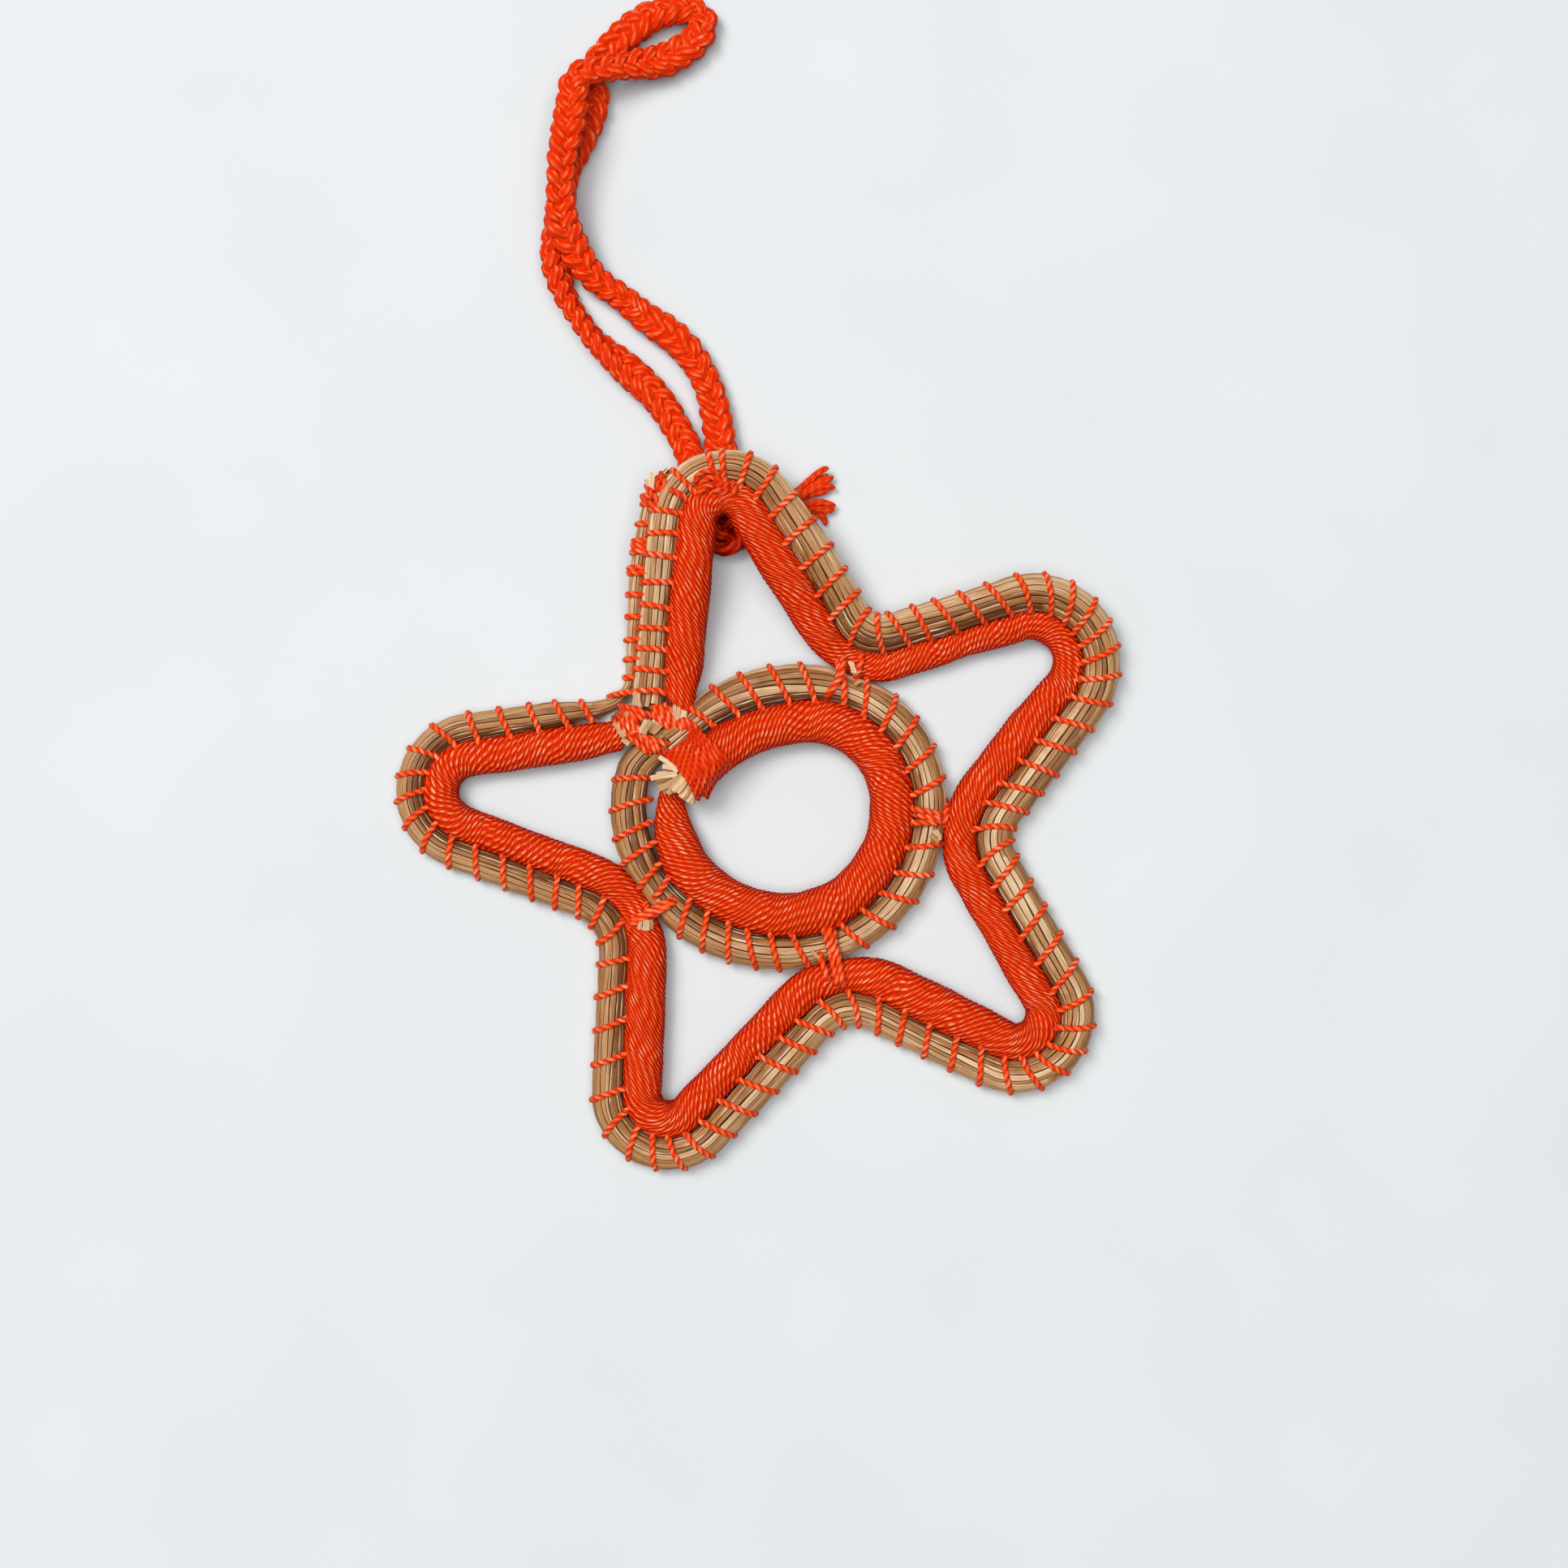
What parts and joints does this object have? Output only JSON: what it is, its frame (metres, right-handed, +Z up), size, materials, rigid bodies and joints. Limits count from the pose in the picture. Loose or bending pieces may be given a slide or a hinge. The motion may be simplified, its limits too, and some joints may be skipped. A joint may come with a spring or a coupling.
{
  "type": "coiled pine needle star ornament",
  "caption": "Star-shaped hanging ornament of coiled pine needles round a coiled ring, wrapped and sewn with coral nylon thread, with a braided hanging cord.",
  "frame": {"origin": "middle of the star's outline in plan, on the ground it lies on", "axes": "+Z up out of the ornament's face, +Y along the top arm towards the hanging cord, +X to the right of the face"},
  "size_m": [0.1275, 0.2032, 0.0128],
  "materials": {
    "coral_thread": "twisted nylon thread, slightly shiny",
    "coral_cord": "braided nylon cord, slightly shiny",
    "dry_needles": "dried pine needles, waxy"
  },
  "bodies": {
    "root": {"ring_wrapped_turn": "coral_thread", "ring_needle_stub": "dry_needles", "ring_needle_turn": "dry_needles", "star_wrapped_turn": "coral_thread", "star_needle_turn": "dry_needles", "star_ring_tie_1": "coral_thread", "star_ring_tie_2": "coral_thread", "star_ring_tie_3": "coral_thread", "star_ring_tie_4": "coral_thread", "star_ring_tie_5": "coral_thread", "star_ring_tie_6": "coral_thread", "hanger_cord": "coral_cord", "hanger_knot": "coral_cord", "hanger_tail_upper": "coral_cord", "hanger_tail_lower": "coral_cord"}
  },
  "joints": []
}
